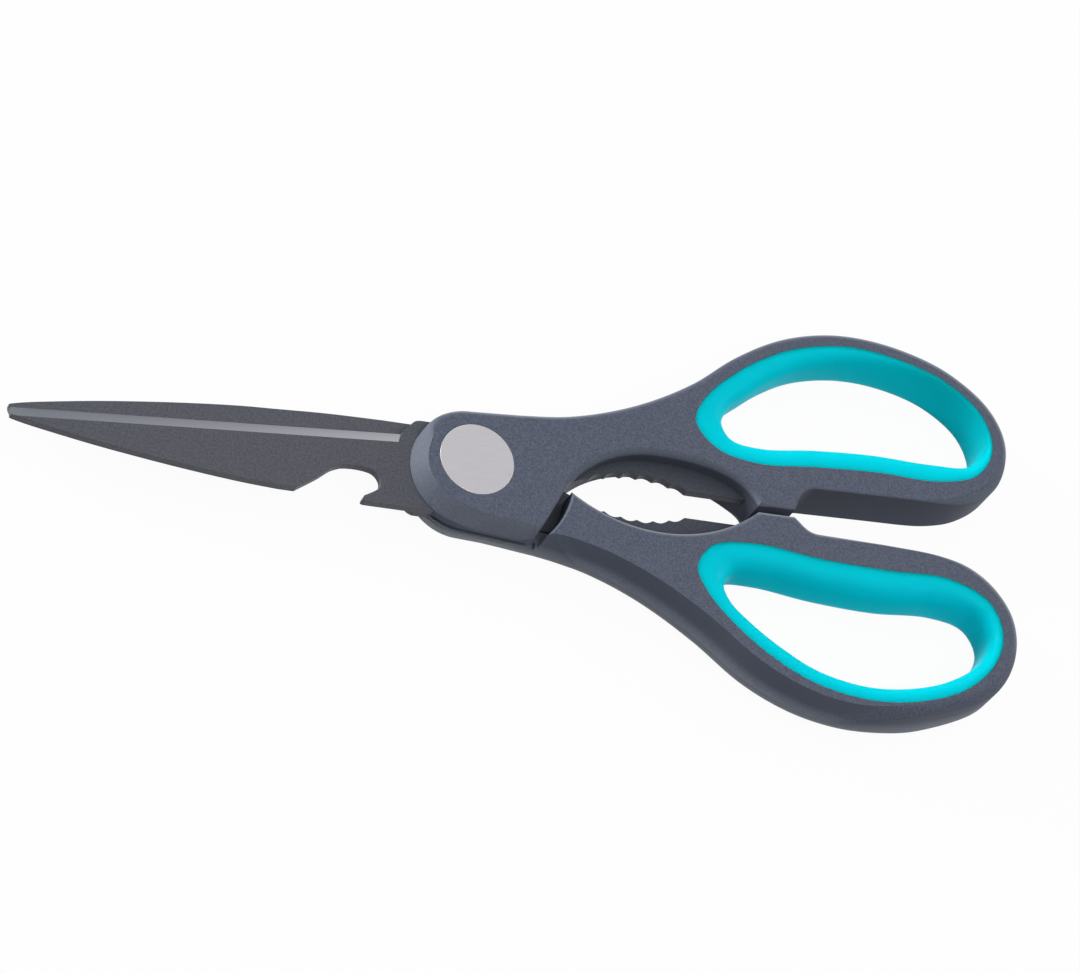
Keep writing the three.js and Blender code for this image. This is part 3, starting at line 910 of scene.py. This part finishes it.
def rearStretches():
    jaw = handle["lowerJaw"]
    stopY = handle["stopLine"] - handle["stopGap"] / 2
    toX, rampX = handle["stopX"][1:]
    centre = Vector((jaw["apex"][0], jaw["apex"][1] + jaw["radius"]))
    end = -math.degrees(math.asin((centre.y - stopY) / jaw["radius"]))
    arch = arc(centre, jaw["radius"], end, jawStart(centre, jaw["radius"], -1), 50)
    inner = handle["lowerInner"]
    ramp = bezier((rampX, inner), (toX + 2.4, inner + 0.1), (toX + 1.7, stopY - 1.4), (toX, stopY), 16)
    corner = polar(handle["shoulder"] - handle["shoulderGap"], handle["rearCorner"])
    disc = handle["rearBoss"]
    boss = arc(disc["centre"], disc["radius"], disc["from"], disc["to"], 60)
    return [
        ([corner], handle["crispEdge"], handle["backEdge"]),
        (boss, handle["crispEdge"], handle["footEdge"]),
        (spline(handle["lowerOuter"], 10), lowerEdge, lowerBackEdge),
        (ramp, handle["lowerJawEdge"], handle["backEdge"]),
        (arch, handle["lowerJawEdge"], handle["backEdge"]),
    ]


# Joins the stretches, and eases each edge into the next over a few millimetres
def joined(stretches):
    points, edges = [], []
    for line, front, back in stretches:
        for p in line:
            if points and (p - points[-1]).length < leastStep:
                continue
            points.append(p)
            edges.append([edge(p) if callable(edge) else edge for edge in (front, back)])
    count = len(points)
    reach, span = handle["edgeBlend"]["reach"], handle["edgeBlend"]["points"]
    smooth = [[], []]
    for i, p in enumerate(points):
        near = [(i + k) % count for k in range(-span, span + 1)]
        shares = [math.exp(-(((points[j] - p).length / reach) ** 2)) for j in near]
        for face in (0, 1):
            rows = [edges[j][face] for j in near]
            smooth[face].append(
                tuple(sum(s * row[c] for s, row in zip(shares, rows)) / sum(shares) for c in range(3))
            )
    return points, smooth[0], smooth[1]


def linerLines(key):
    rows = liner[key]
    border = loop([row[:2] for row in rows], liner["steps"])
    throat = loop([row[2:] for row in rows], liner["steps"])
    return border, throat


# A groove in the rear boss just under the front boss's edge, the dark line seen between the two
def partingGroove():
    disc, groove = handle["frontBoss"], handle["groove"]
    corner = polar(handle["shoulder"] - handle["shoulderGap"], handle["frontCorner"])
    sides = (groove["out"], -groove["in"])
    bands = [arc(disc["centre"], disc["radius"] + k, groove["from"], disc["to"], 24) for k in sides]
    along = (corner - bands[0][-1]).normalized()
    outward = Vector((along.y, -along.x))
    end = corner + along * handle["shoulderGap"]
    ends = [end + outward * k for k in sides]
    top = level["middle"] - level["bossGap"] / 2
    band = counterClockwise(bands[0] + ends + bands[1][::-1])
    return slab("partingGroove", band, top - groove["deep"], top + 0.2)


def makeHandle(name, node, body, side):
    front, middle, back = level["front"], level["middle"], level["back"]
    outline, frontEdges, backEdges = joined(frontStretches() if side > 0 else rearStretches())
    if side < 0:
        outline = movedIn(outline, [-handle["flare"]["out"] * flareAt(p) for p in outline])
    piece = slab(name, outline, back, front, frontEdges, backEdges, 8)
    floor = middle + side * level["bossGap"] / 2
    outside = back - 2 if side > 0 else front + 2
    face = back if side > 0 else front
    r, soft = handle["shoulder"], handle["shoulderEase"]
    shoulder = [
        (0, outside),
        (r + soft, outside),
        (r + soft, face),
        (r, face + side * soft),
        (r, floor),
        (0, floor),
    ]
    face = front if side > 0 else back
    inside = middle + side * level["bladeGap"] / 2
    cavity = rod("cavity", handle["cavityRadius"], inside, face)
    seat, floor = handle["capRadius"] + handle["seatPlay"], face - side * handle["capDepth"]
    lip = handle["seatLip"]
    capSeat = [
        (0, floor),
        (seat, floor),
        (seat, face - side * lip),
        (seat + lip, face),
        (seat + lip, face + side * 2),
        (0, face + side * 2),
    ]
    low = (frontBladeLow if side > 0 else rearBladeLow) - handle["tangPlay"]
    high = low + level["bladeThick"] + 2 * handle["tangPlay"]
    tang = bladeOutline(side)
    tangSlot = slab("tangSlot", movedIn(tang, [-handle["tangPlay"]] * len(tang)), low, high)
    key = rod("key", handle["keyRadius"], back - 2, front + 2, 48, across(side, *blade["anchor"]))
    cutAway(tangSlot, [key])
    border = linerLines("upper" if side > 0 else "lower")[0]
    play = handle["linerPlay"]
    half = liner["ribHeight"] / 2 + play
    ribLine = movedIn(border, [-play - liner["rib"]] * len(border))
    cutters = [
        turnedSolid("shoulder", shoulder, 240),
        tangSlot,
        cavity,
        turnedSolid("capSeat", capSeat),
        slab("loopHole", movedIn(border, [-play] * len(border)), back - 2, front + 2),
        slab("ribGroove", ribLine, middle - half, middle + half),
    ]
    cutAway(piece, cutters if side > 0 else cutters + [partingGroove()])
    material = frontNylon if side > 0 else rearNylon
    dress(piece, [material], body, node)


makeHandle("front_handle_moulding", "front_handle", "front_half", 1)
makeHandle("rear_handle_moulding", "rear_handle", "rear_half", -1)


def makeLiner(name, node, body, key):
    border, throat = linerLines(key)
    half = (level["front"] - level["back"]) / 2
    ribHalf = liner["ribHeight"] / 2
    ribLine = movedIn(border, [-liner["rib"]] * len(border))
    rows = [(ribLine, -ribHalf), (ribLine, ribHalf), (border, ribHalf)]
    steps = liner["sectionSteps"]
    for i in range(steps + 1):
        turn = math.pi / 2 - math.pi * i / steps
        reach = abs(math.cos(turn)) ** liner["fullness"] if 0 < i < steps else 0.0
        rise = math.copysign(abs(math.sin(turn)) ** liner["fullness"], math.sin(turn))
        rows.append(([b.lerp(t, reach) for b, t in zip(border, throat)], half * rise))
    rows.append((border, -ribHalf))
    bm = bmesh.new()
    rings = []
    for line, rise in rows:
        rings.append([bm.verts.new(Vector((p.x, p.y, level["middle"] + rise)) * mm) for p in line])
    count = len(border)
    for ring, after in zip(rings, rings[1:] + rings[:1]):
        for i in range(count):
            j = (i + 1) % count
            bm.faces.new((ring[i], ring[j], after[j], after[i]))
    bmesh.ops.recalc_face_normals(bm, faces=bm.faces)
    dress(newPiece(name, bm), [mouldedElastomer], body, node, 50)


makeLiner("front_loop_liner", "front_grip", "front_half", "upper")
makeLiner("rear_loop_liner", "rear_grip", "rear_half", "lower")


# Pivot caps, turned, with a rounded rim and a hidden spigot
cap = {
    "radius": handle["capRadius"],
    "thick": 0.75,
    "rim": 0.12,
    "spigotOut": 5.8,
    "spigotIn": 5.35,
    "spigot": 1.3,
}


def makeCap(name, node, body, side):
    face = level["front"] if side > 0 else level["back"]
    r, rim = cap["radius"], cap["rim"]
    rows = [
        (0, cap["thick"]),
        (cap["spigotIn"], cap["thick"]),
        (cap["spigotIn"], cap["spigot"]),
        (cap["spigotOut"], cap["spigot"]),
        (cap["spigotOut"], cap["thick"]),
        (r, cap["thick"]),
    ]
    for i in range(5):
        turn = math.pi / 2 * i / 4
        rows.append((r - rim + rim * math.cos(turn), rim - rim * math.sin(turn)))
    rows.append((0, 0))
    piece = turnedSolid(name, [(radius, face - side * depth) for radius, depth in rows])
    dress(piece, [satinSteel], body, node)


makeCap("front_pivot_cap", "front_cap", "front_half", 1)
makeCap("rear_pivot_cap", "rear_cap", "rear_half", -1)

for hidden in ("pivot_rivet", "spring_washer", "pivot_collar"):
    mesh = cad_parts[hidden].data
    mesh.materials.clear()
    mesh.materials.append(zincSteel)
print("pieces made")


# Stage: a white table, four soft panels, and a room that is bright overhead and dim at the sides
stage = {
    "floorSize": 6.0,
    "floorColour": "#dcdcdc",
    "floorGlow": 0.95,
    "ceiling": 0.9,
    "horizon": 0.05,
    "brightSide": (0.0, 0.05, 1.0),
    "brightRange": (0.3, 0.88),
    "panels": [
        {"name": "left_panel", "place": (-1.02, 0.59, 0.26), "size": 0.45, "watts": 14.5},
        {"name": "right_panel", "place": (1.1, 0.25, 0.35), "size": 0.5, "watts": 4.0},
        {"name": "back_panel", "place": (0.1, 1.0, 0.7), "size": 0.4, "watts": 1.6},
        {"name": "front_panel", "place": (0.05, -0.55, 1.1), "size": 0.5, "watts": 4.2},
    ],
}


# The camera, reflections and clear materials see white where the table or the room would be grey
def seenShare(tree):
    rays = addNode(tree, "ShaderNodeLightPath", {}, {})
    share = rays.outputs["Is Camera Ray"]
    for kind in ("Is Glossy Ray", "Is Transmission Ray"):
        share = calculated(tree, "MAXIMUM", share, rays.outputs[kind])
    return share


def makeFloor():
    bm = bmesh.new()
    bmesh.ops.create_grid(bm, x_segments=1, y_segments=1, size=stage["floorSize"] / 2)
    floor = newPiece("table_top", bm)
    material, tree = newMaterial("white_table")
    share = calculated(tree, "MULTIPLY", seenShare(tree), stage["floorGlow"])
    matt = addNode(tree, "ShaderNodeBsdfDiffuse", {}, {"Color": linear(stage["floorColour"])})
    glow = addNode(tree, "ShaderNodeEmission", {}, {"Color": (1, 1, 1, 1), "Strength": 1.0})
    both = addNode(
        tree,
        "ShaderNodeMixShader",
        {},
        {0: share, 1: matt.outputs["BSDF"], 2: glow.outputs["Emission"]},
    )
    addNode(tree, "ShaderNodeOutputMaterial", {}, {"Surface": both.outputs["Shader"]})
    floor.data.materials.append(material)


def makeRoom():
    world = bpy.data.worlds.new("white_room")
    bpy.context.scene.world = world
    world.use_nodes = True
    tree = world.node_tree
    tree.nodes.clear()
    view = addNode(tree, "ShaderNodeTexCoord", {}, {}).outputs["Generated"]
    dim, bright = stage["brightRange"]
    room = addNode(
        tree,
        "ShaderNodeMapRange",
        {},
        {
            "Value": dotProduct(tree, view, stage["brightSide"]),
            "From Min": dim,
            "From Max": bright,
            "To Min": stage["horizon"],
            "To Max": stage["ceiling"],
        },
    )
    strength = addNode(
        tree,
        "ShaderNodeMapRange",
        {},
        {"Value": seenShare(tree), "To Min": room.outputs["Result"], "To Max": 1.0},
    )
    light = addNode(
        tree, "ShaderNodeBackground", {}, {"Color": (1, 1, 1, 1), "Strength": strength.outputs["Result"]}
    )
    addNode(tree, "ShaderNodeOutputWorld", {}, {"Surface": light.outputs["Background"]})


def makePanel(panel):
    light = bpy.data.lights.new(panel["name"], "AREA")
    light.size = panel["size"]
    light.energy = panel["watts"]
    lamp = bpy.data.objects.new(panel["name"], light)
    bpy.context.scene.collection.objects.link(lamp)
    lamp.location = panel["place"]
    lamp.rotation_euler = Vector(panel["place"]).to_track_quat("Z", "Y").to_euler()


makeFloor()
makeRoom()
for panel in stage["panels"]:
    makePanel(panel)

# Camera at the photograph's angle, rolled so that the blades lie nearly level
camera = {
    "azimuth": -35.4659,
    "elevation": 55.5153,
    "roll": 38.0906,
    "target": (13.4457, -4.413, 12.0),
    "distance": 900.0,
    "lens": 146.817,
}


def makeCamera():
    a, e, r = (math.radians(camera[k]) for k in ("azimuth", "elevation", "roll"))
    back = Vector((math.sin(a) * math.cos(e), -math.cos(a) * math.cos(e), math.sin(e)))
    right = Vector((math.cos(a), math.sin(a), 0))
    up = back.cross(right)
    tiltedRight = right * math.cos(r) + up * math.sin(r)
    tiltedUp = up * math.cos(r) - right * math.sin(r)
    data = bpy.data.cameras.new("photo_camera")
    data.sensor_fit = "HORIZONTAL"
    data.sensor_width = 36.0
    data.lens = camera["lens"]
    data.clip_start = 0.05
    data.clip_end = 20.0
    eye = bpy.data.objects.new("photo_camera", data)
    bpy.context.scene.collection.objects.link(eye)
    turn = Matrix((tiltedRight, tiltedUp, back)).transposed()
    place = (Vector(camera["target"]) + back * camera["distance"]) * mm
    eye.matrix_world = Matrix.Translation(place) @ turn.to_4x4()
    bpy.context.scene.camera = eye


makeCamera()
bpy.context.scene.view_settings.view_transform = "Standard"
print("stage and camera set")
